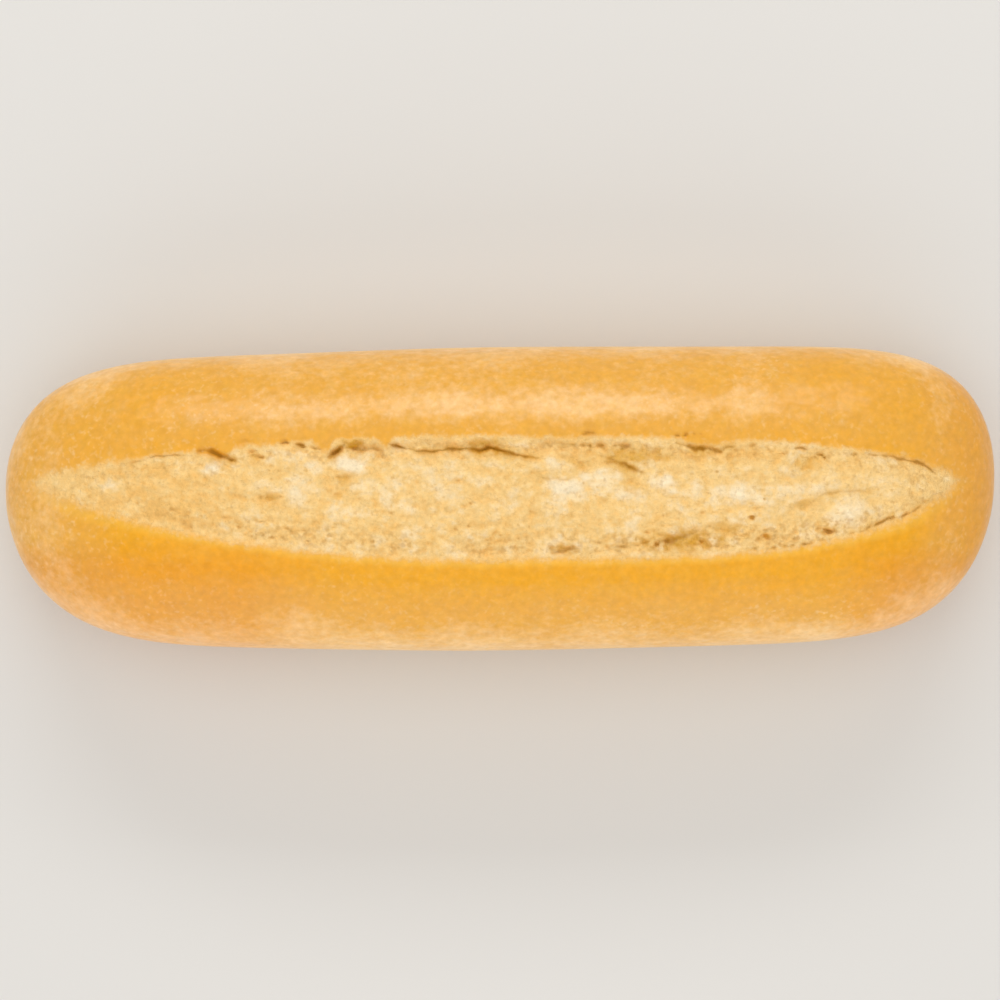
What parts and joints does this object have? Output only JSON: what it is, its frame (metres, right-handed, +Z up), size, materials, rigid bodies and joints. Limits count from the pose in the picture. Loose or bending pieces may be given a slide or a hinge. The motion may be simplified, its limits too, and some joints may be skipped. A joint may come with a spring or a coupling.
{
  "type": "sub roll",
  "caption": "Long baked bread roll with blunt rounded ends, a flat base and a lengthwise slash opened into a leaf of pale torn crumb, for filling as a sandwich.",
  "frame": {"origin": "middle of the bounding box in X and Y, on the flat base that the roll rests on", "axes": "+X along the length of the roll, towards the end where the slash has a crumb bulge with creases; +Y towards the side whose lip has the cracks; +Z up, through the slash"},
  "size_m": [0.21, 0.0646, 0.045],
  "materials": {
    "crust": "satin golden baked crust, with pale matt crumb in the opened slash"
  },
  "bodies": {
    "root": {"roll": "crust"}
  },
  "joints": []
}
